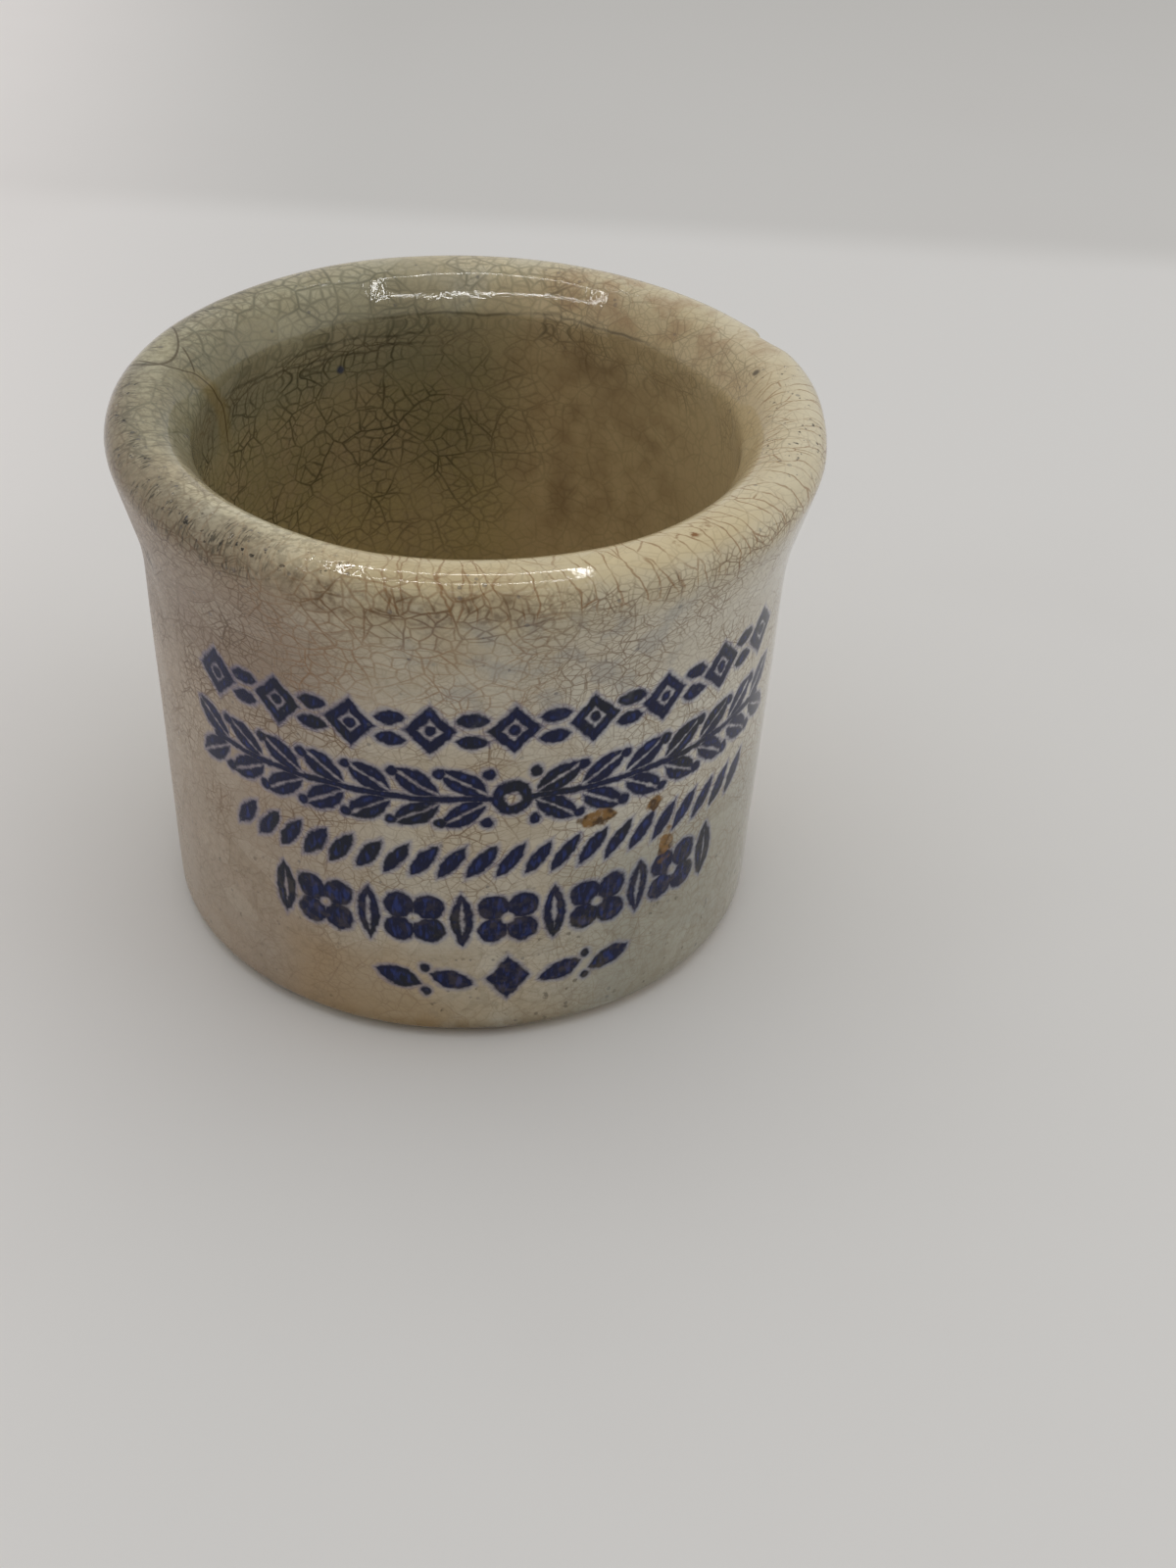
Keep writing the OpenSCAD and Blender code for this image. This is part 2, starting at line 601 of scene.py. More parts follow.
def crazing_group():
    """The crackle of an old glaze: long cracks, and finer ones that end at them."""
    tree, given, out = new_group(
        "crazing", ("Around", "Run", "Cell", "Wide", "Width", "Soft"), ("Long", "Fine", "Tone")
    )
    cell = given["Cell"]
    across = given["Around"] / (cell * given["Wide"])
    along = given["Run"] / cell
    coarse = point(across * COARSE_SHARE, along * COARSE_SHARE)
    patch_x, patch_y, tone = Field(cells(coarse, "F1").outputs["Color"]).parts()
    fine = point(across + patch_x * PATCH_JUMP, along + patch_y * PATCH_JUMP)
    half = given["Width"] * 0.5
    edge = half + given["Soft"]
    to_long = Field(cells(coarse, "DISTANCE_TO_EDGE").outputs["Distance"]) * cell / COARSE_SHARE
    to_fine = Field(cells(fine, "DISTANCE_TO_EDGE").outputs["Distance"]) * cell
    long_line, fine_line = (gap.rising(half, edge).inverse() for gap in (to_long, to_fine))
    give(out, Tone=tone, Long=long_line, Fine=fine_line)
    return tree


def specks_group():
    """Scattered round specks in a share of the cells of a grid, each with a size of its own."""
    tree, given, out = new_group("specks", ("Spot", "Cell", "Share"), ("Mask",))
    nearest = cells(scaled(given["Spot"], given["Cell"].math("POWER", -1.0)), "F1", "3D")
    chance, size, _ = Field(nearest.outputs["Color"]).parts()
    radius = size * SPECK_RANGE + SPECK_LEAST
    speck = Field(nearest.outputs["Distance"]).rising(radius, radius + SPECK_SOFT).inverse()
    give(out, Mask=speck * chance.math("LESS_THAN", given["Share"]))
    return tree


POT_PLACES = places_group()
CRAZING = crazing_group()
SPECKS = specks_group()


# The cobalt ornament: bands of leaves, lozenges and small flowers, round the front of the wall

PRINT_TURN = 8.0
PRINT_SLOPE = 0.012
PRINT_DRIFT = 0.5


def leaf(x, y, length, width):
    """Depth inside a pointed leaf that lies along x, in millimetres, below 0 outside it."""
    bow = (length ** 2 + width ** 2) / (4 * width)
    return -hypot(x, abs(y) + (bow - width / 2)) + bow


def dot(x, y, radius):
    return -hypot(x, y) + radius


def lozenge(x, y, half_w, half_h):
    slant = half_w * half_h / math.hypot(half_w, half_h)
    return (abs(x) / half_w + abs(y) / half_h).inverse() * slant


def turned_axes(x, y, angle):
    """The same point in axes turned by an angle."""
    c, s = math.cos(math.radians(angle)), math.sin(math.radians(angle))
    return x * c + y * s, y * c - x * s


def repeated(x, pitch, first, last, start=0.0):
    """Counts x afresh from the middle of each repeat, from the first of a row to its last."""
    x = x - start
    step = (x / pitch).math("ROUND").most(first).least(last)
    return x - step * pitch


def lozenge_band(x, y):
    """Hollow lozenges with a dot inside each, and a pair of small leaves between them."""
    pitch = 5.2
    here = repeated(x, pitch, -4, 4)
    half_line = 0.36
    outline = -abs(lozenge(here, y, half_w=1.75, half_h=1.85) - half_line) + half_line
    between = repeated(x, pitch, -4, 3, start=pitch / 2)
    pair = leaf(between, abs(y) - 0.8, length=2.1, width=1.1)
    return outline.most(dot(here, y, radius=0.42)).most(pair)


def garland_band(x, y):
    """A laurel garland whose leaves point outwards from its middle, with berries between them."""
    pitch = 3.1
    out = abs(x)
    lean_x, lean_y = turned_axes(repeated(out, pitch, 1, 7), abs(y) - 1.25, 32.0)
    midrib = -abs(lean_y) + 0.09
    leaves = leaf(lean_x, lean_y, length=3.5, width=1.8).least(-midrib)
    stem = (-abs(y) + 0.26).least(-out + 7 * pitch)
    berry = dot(repeated(out, pitch, 0, 6, start=pitch / 2), abs(y) - 1.95, radius=0.42)
    knot = dot(x, y, radius=1.4)
    eye = dot(x, y, radius=0.55)
    return leaves.most(stem).most(berry).most(knot).least(-eye)


def stroke_band(x, y):
    """A row of slanted strokes, thick in the middle and fine at the ends."""
    pitch = 1.9
    slant = 56.0
    along = x - y / math.tan(math.radians(slant))
    lean_x, lean_y = turned_axes(repeated(along, pitch, -10, 10) + (x - along), y, slant)
    return leaf(lean_x, lean_y, length=3.3, width=1.15)


def flower_band(x, y):
    """Four-petalled flowers with clear eyes, and an upright leaf between each two."""
    pitch = 6.4
    here = repeated(x, pitch, -2, 2)
    petals = dot(abs(here) - 1.0, abs(y) - 1.0, radius=1.1)
    eye = dot(here, y, radius=0.45)
    between = repeated(x, pitch, -3, 2, start=pitch / 2)
    upright = leaf(y, between, length=4.5, width=1.6)
    vein = leaf(y, between, length=2.6, width=0.3)
    return petals.least(-eye).most(upright.least(-vein))


def leaf_band(x, y):
    """A short row of leaves that point outwards from a lozenge."""
    pitch = 3.8
    out = abs(x)
    lean_x, lean_y = turned_axes(repeated(out, pitch, 1, 2), y, 18.0)
    row = leaf(lean_x, lean_y, length=3.3, width=1.6)
    beads = dot(repeated(out, pitch, 1, 1, start=pitch / 2), abs(y) - 1.0, radius=0.36)
    return row.most(beads).most(lozenge(x, y, half_w=1.6, half_h=2.0))


# Each band and the height of its middle
BANDS = (
    (lozenge_band, 26.6),
    (garland_band, 21.2),
    (stroke_band, 16.0),
    (flower_band, 11.0),
    (leaf_band, 5.6),
)


def ornament_group():
    """The printed bands: where the ink lies, its pale bleed, and where it is thin or black."""
    tree, given, out = new_group(
        "cobalt_ornament", ("Around", "Height", "Spot"), ("Ink", "Bleed", "Pale", "Black")
    )
    spot = given["Spot"]
    drift_x, drift_y, _ = noise(spot, 3.2, output="Color").parts()
    x = given["Around"] - math.radians(PRINT_TURN) * NECK_R + (drift_x - 0.5) * PRINT_DRIFT
    y = given["Height"] - x * PRINT_SLOPE + (drift_y - 0.5) * PRINT_DRIFT
    depth = reduce(Field.most, [band(x, y - middle) for band, middle in BANDS])
    rough = depth + (noise(spot, 0.45, 3.0) - 0.5) * 0.36 + (noise(spot, 1.4) - 0.5) * 0.22
    streaks = noise(point(x * 2.6, y * 0.8), 1.0, 3.0)
    give(
        out, Ink=rough.rising(-0.12, 0.12), Bleed=rough.rising(-0.42, 0.0),
        Pale=rough.rising(0.1, 0.4) * streaks.rising(0.46, 0.68),
        Black=noise(spot, 5.0, 3.0).rising(0.5, 0.62),
    )
    return tree


ORNAMENT = ornament_group()


# The crazed glaze of the coat

# Colours along the section in millimetres from the heel, up the wall, over the lip and inside
SECTION_COLOURS = (
    # The first three colours, at the heel, are painted shade in the gap between the heel and the paper
    (0.0, srgb(84, 74, 58)),
    (0.5, srgb(134, 118, 90)),
    (1.2, srgb(186, 172, 146)),
    (4.0, srgb(204, 195, 176)),
    (26.0, srgb(208, 199, 181)),
    (33.0, srgb(200, 188, 162)),
    (36.6, srgb(206, 191, 154)),
    (38.2, srgb(224, 213, 180)),
    (40.5, srgb(216, 206, 172)),
    (43.0, srgb(186, 175, 138)),
    (48.0, srgb(156, 146, 109)),
    (54.0, srgb(156, 144, 104)),
    (62.0, srgb(192, 174, 124)),
    (91.0, srgb(192, 174, 124)),
)

# Soft tints, some of them painted light and shade: the side turns are counted from, (middle, reach,
# softness) round the pot in degrees and along the section in millimetres, strength and colour
TINTS_AND_PAINTED_LIGHT = (
    # Partly a pinkish stain, partly painted shade: the left of the wall darker, on the side away from
    # the light
    ("Turn", (-60, 24, 30), (15, 15, 10), 0.75, srgb(170, 150, 132)),
    ("Turn", (-64, 26, 26), (31, 4, 5), 0.6, srgb(142, 122, 106)),
    ("Turn", (52, 20, 30), (24, 7, 8), 0.45, srgb(216, 214, 202)),
    # Painted shade: the lower right of the wall darker, where less light reaches it low down
    ("Turn", (58, 26, 24), (5, 6, 8), 0.75, srgb(160, 160, 148)),
    ("Turn", (-18, 10, 12), (3, 2, 4), 0.5, srgb(172, 138, 88)),
    ("Turn", (74, 40, 24), (38.6, 2, 2), 0.5, srgb(228, 217, 188)),
    ("Turn", (-88, 44, 20), (37.4, 0.9, 1.6), 0.45, srgb(116, 107, 88)),
    ("Turn", (14, 30, 20), (39.2, 1.4, 1.4), 0.45, srgb(214, 190, 138)),
    ("Back Turn", (60, 40, 26), (43.5, 3.5, 3), 0.5, srgb(142, 140, 116)),
    ("Back Turn", (-66, 30, 24), (43.5, 1.6, 2), 0.35, srgb(150, 140, 112)),
    # Grey soiling with painted shade: the inner flare at the left darker
    ("Back Turn", (86, 24, 20), (44, 2, 3), 0.4, srgb(118, 114, 92)),
    # Painted light with a paler glaze: the inside wall on the right lighter
    ("Back Turn", (-66, 44, 25), (57, 14, 6), 0.85, srgb(212, 188, 144)),
)

# Patches whose cracks or marks of age differ, in the same terms
ZONES = {
    "far lip": ("Back Turn", (50, 58, 30), (41.6, 3, 1.6)),
    "right flare": ("Back Turn", (-66, 40, 22), (43, 2.6, 2)),
    "right lip": ("Turn", (44, 50, 20), (38.4, 2.6, 1.4)),
    "combed throat": ("Back Turn", (96, 26, 20), (42.6, 2.6, 1.6)),
    "below the lip": ("Turn", (-4, 14, 14), (34.8, 1.2, 1.4)),
    "rusty wall": ("Turn", (-11, 15, 16), (32.5, 4, 4)),
    "left wall": ("Turn", (-60, 20, 24), (29.5, 5, 6)),
    "brown edge": ("Turn", (-8, 17, 9), (36, 0.6, 1)),
    "smudged wall": ("Turn", (14, 16, 14), (31, 2.5, 3)),
    "rusty inside": ("Back Turn", (-34, 16, 16), (52, 6, 8)),
    "sooty edge": ("Turn", (-84, 44, 20), (37.2, 1.2, 1.1)),
    "mottled lip": ("Turn", (-80, 50, 20), (38.4, 2, 1.6)),
    "tanned lip": ("Back Turn", (-46, 18, 20), (40.6, 1.6, 1.4)),
    "pitted left": ("Turn", (-60, 34, 16), (37.8, 0.8, 0.8)),
    "pitted right": ("Turn", (84, 14, 12), (38.8, 1.6, 1.4)),
}

# Ragged spots: turn, run, half width and half height
RUST_SPOTS = ((23.3, 17.6, 1.3, 0.7), (35.0, 17.2, 0.6, 0.7), (38.8, 13.0, 0.7, 1.2))
LIP_RUST = (38.5, 38.9, 1.8, 0.7)
BROWN_SPOTS = (
    (-22.4, 57.0, 1.2, 4.5),
    (-26.0, 50.7, 1.2, 0.9),
    (-48.0, 51.2, 1.6, 0.7),
    (-30.0, 47.0, 4.0, 1.6),
)
BLUE_SPECK = (30.8, 47.15, 0.34, 0.3)
DARK_SPECK = (-76.2, 40.85, 0.3, 0.3)

# The hairline at the left of the lip, as shares of its length along the section and of its width
HAIRLINE_RUN = 37.0
HAIRLINE_LENGTH = 13.0
HAIRLINE_AROUND = -44.0
HAIRLINE_WIDTH = 6.0
HAIRLINE_PATH = (
    (0.04, 0.8), (0.22, 0.88), (0.31, 0.79), (0.39, 0.6), (0.47, 0.5),
    (0.57, 0.36), (0.68, 0.18), (0.82, 0.13), (0.93, 0.1),
)
HAIR_HALF = 0.04
HAIR_SOFT = 0.1

# The loose flake beside it, a leaning oval, and the short branch between them
FLAKE_AROUND = -41.8
FLAKE_RUN = 37.3
FLAKE_LEAN = 0.55
FLAKE_HALF_W = 3.05
FLAKE_HALF_H = 2.9
BRANCH_AROUND = -41.2
BRANCH_RUN = 41.0
BRANCH_ANGLE = 50.7

# The long cracks in the throat: turn from the back, reach in degrees, run and sway
THROAT_CRACKS = ((-10, 26, 43.6, 2.2), (36, 20, 45.0, 3.6), (32, 16, 46.0, -3.0))

# The long cells whose edges cross the lip
LIP_CELL_W = 1.0
LIP_CELL_H = 4.4
LIP_CELL_LEAN = 0.25

# How far the second and third net of cracks are shifted from the first, round the pot and along it
MESH_SHIFT = (31.7, 5.3)
RUST_SHIFT = (12.4, 17.9)

# Two scratches on the left of the wall
SCRATCH_TURN = -64.0
SCRATCH_RUN = 30.5
SCRATCH_ANGLE = 78.0
SCRATCH_GAP = 0.6

# The surface: its shine, and the depths of its marks in millimetres
GLAZE_SPECULAR = 0.25
GLAZE_ROUGHNESS = 0.01
CRACK_DEPTH = 0.003
PIT_DEPTH = 0.05
SCRATCH_DEPTH = 0.06

GREY_LINE = srgb(122, 97, 72)
DARK_LINE = srgb(86, 71, 56)
GREEN_GREY_LINE = srgb(92, 92, 74)
RUST_LINE = srgb(142, 101, 60)
INSIDE_LINE = srgb(58, 56, 40)
SOOT = srgb(44, 40, 34)
UMBER = srgb(96, 68, 36)
OCHRE = srgb(134, 96, 40)
INK_NAVY = srgb(14, 20, 56)
INK_PALE = srgb(42, 58, 122)
INK_BLACK = srgb(26, 29, 38)
INK_BLEED = srgb(92, 108, 164)


def patch(at, side, turns, runs):
    """A soft-edged patch: (middle, reach, softness) round the pot and along its section."""
    return at[side].near(*turns) * at["Run"].near(*runs)


def zone(at, name):
    return patch(at, *ZONES[name])


def blot(at, turn, run, wide, tall, side="Turn", soft=0.5):
    """A ragged stain, with an edge from crisp to cloudy."""
    across = (at[side] - turn) * DEGREE / wide
    along = (at["Run"] - run) / tall
    ragged = noise(at["Spot"], 0.8 + soft, 4.0) - 0.5
    return (hypot(across, along) + ragged * 2.2).rising(1.0 - soft, 1.0 + soft * 0.6).inverse()


def lay(colour, *layers):
    """Lays colours over one another: each layer has its mask, its strength and its colour."""
    for mask, strength, shade in layers:
        colour = paint(colour, mask * strength, shade)
    return colour


def hairlines(at):
    """The crack from the left of the lip down inside, and the edge of the flake beside it."""
    x, run = at["Around"], at["Run"]
    share = curve((run - HAIRLINE_RUN) / HAIRLINE_LENGTH, HAIRLINE_PATH)
    path = share * HAIRLINE_WIDTH + HAIRLINE_AROUND
    crack = (x - path).near(0.0, HAIR_HALF, HAIR_SOFT) * run.near(43.3, 4.6, 2.0)
    flake_y = run - FLAKE_RUN
    flake_x = x - FLAKE_AROUND - flake_y * FLAKE_LEAN
    ring = hypot(flake_x / FLAKE_HALF_W, flake_y / FLAKE_HALF_H) - 1.0
    flake = (ring * FLAKE_HALF_H).near(0.0, HAIR_HALF, HAIR_SOFT) * run.rising(36.6, 37.4)
    branch_along, branch_off = turned_axes(x - BRANCH_AROUND, run - BRANCH_RUN, BRANCH_ANGLE)
    branch = branch_off.near(0.0, 0.03, HAIR_SOFT) * branch_along.near(0.0, 0.9, 0.4)
    stain = (x - path).near(0.3, 0.4, 1.2) * run.near(45.0, 2.2, 2.6)
    inner = ring.rising(-0.25, 0.0).inverse() * run.rising(37.0, 37.6)
    return crack.most(flake).most(branch), stain, inner


def throat_cracks(at):
    """The long cracks that follow the throat on the far side."""
    back, run = at["Back Turn"], at["Run"]
    waver = noise(point(back * 0.38, run * 0.1), 9.0, 3.0) - 0.5
    lines = reduce(Field.most, [
        (run + waver * sway - height).near(0.0, 0.02, 0.16) * back.near(turn, reach, 18.0)
        for turn, reach, height, sway in THROAT_CRACKS
    ])
    return lines * (noise(at["Spot"], 2.2).rising(0.3, 0.55) * 0.7 + 0.3)


def lip_lines(at):
    """Cracks that cross the lip: the edges of long cells, drawn with one width in every direction."""
    spot, run = at["Spot"], at["Run"]
    wander = (noise(spot, 2.6, 3.0) - 0.5) * 1.6
    x = (at["Around"] + run * LIP_CELL_LEAN + wander) / LIP_CELL_W
    y = run / LIP_CELL_H
    place = point(x, y)
    x1, y1, _ = Field(cells(place, "F1").outputs["Position"]).parts()
    x2, y2, _ = Field(cells(place, "F2").outputs["Position"]).parts()
    over, up = x2 - x1, y2 - y1
    off = over * ((x1 + x2) * 0.5 - x) + up * ((y1 + y2) * 0.5 - y)
    gap = off / hypot(over / LIP_CELL_W, up / LIP_CELL_H)
    return gap.rising(0.02, 0.1).inverse() * (noise(spot, 1.6, 3.0).rising(0.36, 0.58) * 0.75 + 0.25)


def lip_streaks(at):
    """Soot rubbed into fine scores across the lip."""
    scores = noise(point(at["Around"] / 0.16, at["Run"] / 0.8), 1.0, 3.0)
    smudge = noise(at["Spot"], 1.1, 4.0).rising(0.42, 0.6)
    return scores.rising(0.46, 0.62) * smudge


def shared_fields(at):
    """The fields that several marks share: how far right or inside, and noises from broad to fine."""
    spot = at["Spot"]
    right, _, _ = spot.parts()
    return {
        "Right": right,
        "Deep": at["Run"].rising(44.0, 47.0),
        "Broad": noise(spot, 13.0, 3.0),
        "Small": noise(spot, 3.0, 4.0),
        "Smoky": noise(spot, 2.2, 4.0),
        "Grain": noise(spot, 0.45, 3.0),
        "Knots": noise(spot, 0.7, 3.0).rising(0.45, 0.66),
        "Strength": noise(spot, 4.0, 3.0).rising(0.32, 0.64),
    }


def clay_colour_and_painted_light(at):
    """The clay's colour through the glaze, with blotches and soft tints, and some painted light and
    shade.
    """
    run, small = at["Run"], at["Small"]
    colour = ramp(run / RUN_LENGTH, [(place / RUN_LENGTH, shade) for place, shade in SECTION_COLOURS])
    outside = run.rising(46.0, 42.0)
    colour = lay(
        colour,
        (at["Broad"].rising(0.42, 0.7), 0.4, srgb(188, 168, 134)),
        (small.rising(0.48, 0.72) * outside, 0.35, srgb(198, 196, 184)),
        (small.rising(0.52, 0.3), 0.35, srgb(178, 156, 122)),
        (at["Grain"].rising(0.45, 0.75), 0.3, srgb(166, 150, 124)),
    )
    for side, turns, runs, strength, shade in TINTS_AND_PAINTED_LIGHT:
        colour = lay(colour, (patch(at, side, turns, runs), strength, shade))
    return colour


def with_cracks(tree, colour, at):
    """Draws the crazing, which differs on the wall, the lip and the inside. Returns its lines too."""
    run, right, deep, strength = at["Run"], at["Right"], at["Deep"], at["Strength"]
    around, net_run = at["Net Around"], at["Net Run"]
    outside = deep.inverse()
    far_lip = zone(at, "far lip")
    near_lip = run.near(39.0, 1.6, 1.2) * far_lip.inverse()
    below_lip = zone(at, "below the lip")
    right_flare = zone(at, "right flare")
    rusty = zone(at, "rusty wall")

    # Three nets of cracks: the main one, a finer mesh, and one that shows only where rust stains it
    net = use_group(
        tree, CRAZING, Around=around, Run=net_run, Cell=deep * 0.1 + 0.85, Wide=1.35,
        Width=strength * 0.025 + below_lip * 0.02 + 0.005,
        Soft=deep * 0.06 + far_lip * 0.1 + below_lip * 0.05 + 0.06,
    )
    mesh = use_group(
        tree, CRAZING, Around=around + MESH_SHIFT[0], Run=net_run + MESH_SHIFT[1], Cell=0.55, Wide=1.3,
        Width=0.01, Soft=deep * 0.05 + 0.06,
    )
    rust_net = use_group(
        tree, CRAZING, Around=around + RUST_SHIFT[0], Run=net_run + RUST_SHIFT[1], Cell=1.0, Wide=1.1,
        Width=0.02, Soft=0.1,
    )
    cracks = net["Long"].most(net["Fine"] * 0.75) * (strength * 0.65 + 0.35)
    fine = mesh["Long"].most(mesh["Fine"] * 0.7) * (strength * 0.6 + 0.3)
    rust = rust_net["Long"].most(rust_net["Fine"] * 0.8)
    crossing = lip_lines(at)

    tone = (net["Tone"] - 0.5) * outside * 0.24
    elsewhere = near_lip.most(far_lip).most(right_flare * 0.75).most(rusty * 0.6)
    on_wall = outside * elsewhere.inverse() * (run.rising(3.0, 20.0) * 0.5 + 0.3)
    shadowed = right.rising(10.5, -6.3) * run.rising(68.0, 54.0)
    colour = lay(
        colour,
        (tone.most(0.0), 1.0, srgb(222, 216, 194)),
        ((-tone).most(0.0), 1.0, srgb(150, 138, 108)),
        (cracks * on_wall, right.rising(0.0, 14.0) * -0.35 + 1.0, GREY_LINE),
        (fine * on_wall, abs(right).rising(0.0, 14.0) * 0.4 + 0.75, GREY_LINE),
        (cracks.most(fine * 0.8) * zone(at, "left wall"), 0.45, DARK_LINE),
        (rust * rusty, strength * 0.3 + 0.3, RUST_LINE),
        (rust * below_lip, at["Smoky"].rising(0.4, 0.62) * 0.45 + 0.1, UMBER),
        (cracks * near_lip, 0.22, GREY_LINE),
        (cracks.most(fine * 0.6) * far_lip, 0.65, GREEN_GREY_LINE),
        (cracks.most(fine * 0.7) * right_flare, 0.3, GREEN_GREY_LINE),
        (cracks * deep, shadowed * 0.62 + run.rising(70.0, 80.0) * 0.2 + 0.16, INSIDE_LINE),
        (fine * deep, shadowed * 0.3 + 0.06, INSIDE_LINE),
        (crossing, (zone(at, "right lip") * 0.65).most(near_lip * 0.25), RUST_LINE),
        (crossing * zone(at, "combed throat"), 0.45, GREEN_GREY_LINE),
    )
    return colour, cracks.most(fine * 0.6)


def with_ornament(tree, colour, at):
    """Prints the ornament under the glaze, on the wall alone."""
    ink = use_group(tree, ORNAMENT, Around=at["Around"], Height=at["Height"], Spot=at["Spot"])
    wall = at["Run"].near(15.0, 14.5, 1.0)
    return lay(
        colour,
        (ink["Bleed"] * wall, 0.4, INK_BLEED),
        (ink["Ink"] * wall, 1.0, INK_NAVY),
        (ink["Ink"] * ink["Black"] * wall, 0.85, INK_BLACK),
        (ink["Pale"] * wall, 0.75, INK_PALE),
    )


def with_stains(colour, at):
    """Stains of rust and earth, outside and inside."""
    smoky, grain, knots = at["Smoky"], at["Grain"], at["Knots"]
    colour = lay(
        colour,
        (zone(at, "brown edge") * smoky.rising(0.36, 0.58), knots * 0.45 + 0.15, UMBER),
        (zone(at, "smudged wall") * smoky.rising(0.46, 0.66), 0.35, srgb(146, 146, 146)),
    )
    for place in RUST_SPOTS:
        spot = blot(at, *place, soft=0.3)
        colour = lay(
            colour,
            (spot, grain.rising(0.3, 0.5) * 0.3 + 0.65, OCHRE),
            (spot * knots, 0.85, srgb(58, 40, 22)),
        )
    colour = lay(
        colour,
        (blot(at, *LIP_RUST), knots, RUST_LINE),
        (zone(at, "rusty inside") * smoky.rising(0.34, 0.7), 0.3, srgb(118, 84, 52)),
    )
    for place in BROWN_SPOTS:
        colour = lay(colour, (blot(at, *place, "Back Turn", 1.1), 0.3, srgb(96, 60, 36)))
    return colour


def with_hairlines(colour, at):
    """The long cracks in the throat, the hairline and its flake. Returns their lines too."""
    throat = throat_cracks(at)
    crack, stain, flake = hairlines(at)
    colour = lay(
        colour,
        (throat, 0.5, srgb(64, 62, 48)),
        (flake, 0.45, srgb(196, 188, 154)),
        (stain, 0.4, srgb(146, 124, 68)),
        (crack, 0.8, srgb(80, 68, 46)),
    )
    return colour, crack.most(throat)


def with_wear(tree, colour, at):
    """Soot and tan on the lip, pits, specks and scratches. Returns the pits and scratches too."""
    spot, run, smoky, grain = at["Spot"], at["Run"], at["Smoky"], at["Grain"]
    pitted = zone(at, "pitted left").most(zone(at, "pitted right") * 0.9)
    pits = noise(spot, 0.42, 3.0).rising(0.63, 0.69) * pitted * smoky.rising(0.4, 0.55)
    dust = use_group(tree, SPECKS, Spot=spot, Cell=0.5, Share=0.2)["Mask"]
    dirt = use_group(tree, SPECKS, Spot=spot, Cell=0.7, Share=0.3)["Mask"]
    low = run.near(4.0, 4.0, 8.0) * at["Broad"].rising(0.36, 0.5)
    along, off = turned_axes((at["Turn"] - SCRATCH_TURN) * DEGREE, run - SCRATCH_RUN, SCRATCH_ANGLE)
    scratch = leaf(along, repeated(off, SCRATCH_GAP, 0, 1), length=2.2, width=0.3).rising(-0.02, 0.05)
    colour = lay(
        colour,
        (lip_streaks(at) * zone(at, "sooty edge"), 0.85, srgb(60, 56, 46)),
        (zone(at, "mottled lip") * grain.rising(0.42, 0.62), 0.35, srgb(122, 112, 90)),
        (zone(at, "tanned lip") * smoky.rising(0.42, 0.6), grain * 0.6 + 0.1, srgb(166, 130, 96)),
        (pits, 0.9, SOOT),
        (dust * smoky.rising(0.5, 0.62) * at["Deep"].inverse(), 0.45, srgb(88, 88, 94)),
        (low * at["Knots"], 0.22, srgb(120, 106, 84)),
        (dirt * low * grain.rising(0.45, 0.6), 0.55, srgb(72, 64, 52)),
        (blot(at, *BLUE_SPECK, "Back Turn", 0.6), 0.8, srgb(44, 58, 92)),
        (blot(at, *DARK_SPECK, "Back Turn", 0.6), 0.8, srgb(70, 62, 52)),
        (scratch, 0.85, SOOT),
    )
    return colour, pits, scratch


def crazed_glaze():
    """The coat: clay seen through the glaze, its cracks, the ornament, the marks of age and some
    painted light and shade.
    """
    material, tree, shader = new_material("crazed_glaze")
    at = use_group(tree, POT_PLACES)
    at.update(shared_fields(at))
    spot = at["Spot"]
    colour, net_lines = with_cracks(tree, clay_colour_and_painted_light(at), at)
    colour = with_stains(with_ornament(tree, colour, at), at)
    colour, hair_lines = with_hairlines(colour, at)
    colour, pits, scratch = with_wear(tree, colour, at)
    lines = net_lines.most(hair_lines)
    dull = at["Turn"].near(-80.0, 34.0, 30.0) * at["Run"].rising(37.5, 34.0)
    skin = noise(spot, 0.7) * 0.0015 + noise(spot, 2.5) * 0.009
    shader.inputs["Specular IOR Level"].default_value = GLAZE_SPECULAR
    feed(shader.inputs["Base Color"], colour)
    feed(shader.inputs["Roughness"], at["Small"] * 0.03 + lines * 0.05 + dull * 0.25 + GLAZE_ROUGHNESS)
    relief(shader, skin - lines * CRACK_DEPTH - pits * PIT_DEPTH - scratch * SCRATCH_DEPTH)
    return material


# The bare clay, and the thin glaze under the base

BISCUIT_SHADES = (
    (0.3, srgb(206, 192, 160)),
    (0.55, srgb(186, 164, 124)),
    (0.75, srgb(140, 112, 76)),
)
BASE_SHADES = (
    (0.3, srgb(214, 204, 176)),
    (0.6, srgb(196, 182, 146)),
    (0.8, srgb(160, 138, 100)),
)


def stained_biscuit():
    """Bare clay, pale inside the coat and stained at the foot."""
    material, tree, shader = new_material("stained_biscuit")
    spot = use_group(tree, POT_PLACES)["Spot"]
    _, _, height = spot.parts()
    grain = noise(spot, 0.35, 3.0)
    cloud = noise(spot, 5.0, 4.0)
    colour = ramp(cloud, BISCUIT_SHADES)
    colour = paint(colour, height.rising(20.0, 30.0), srgb(206, 194, 158))
    specks = use_group(tree, SPECKS, Spot=spot, Cell=0.8, Share=0.25)["Mask"]
    colour = paint(colour, specks * 0.6, srgb(92, 74, 52))
    feed(shader.inputs["Base Color"], colour)
    feed(shader.inputs["Roughness"], grain * 0.2 + 0.68)
    relief(shader, grain * 0.05 - specks * 0.05)
    return material


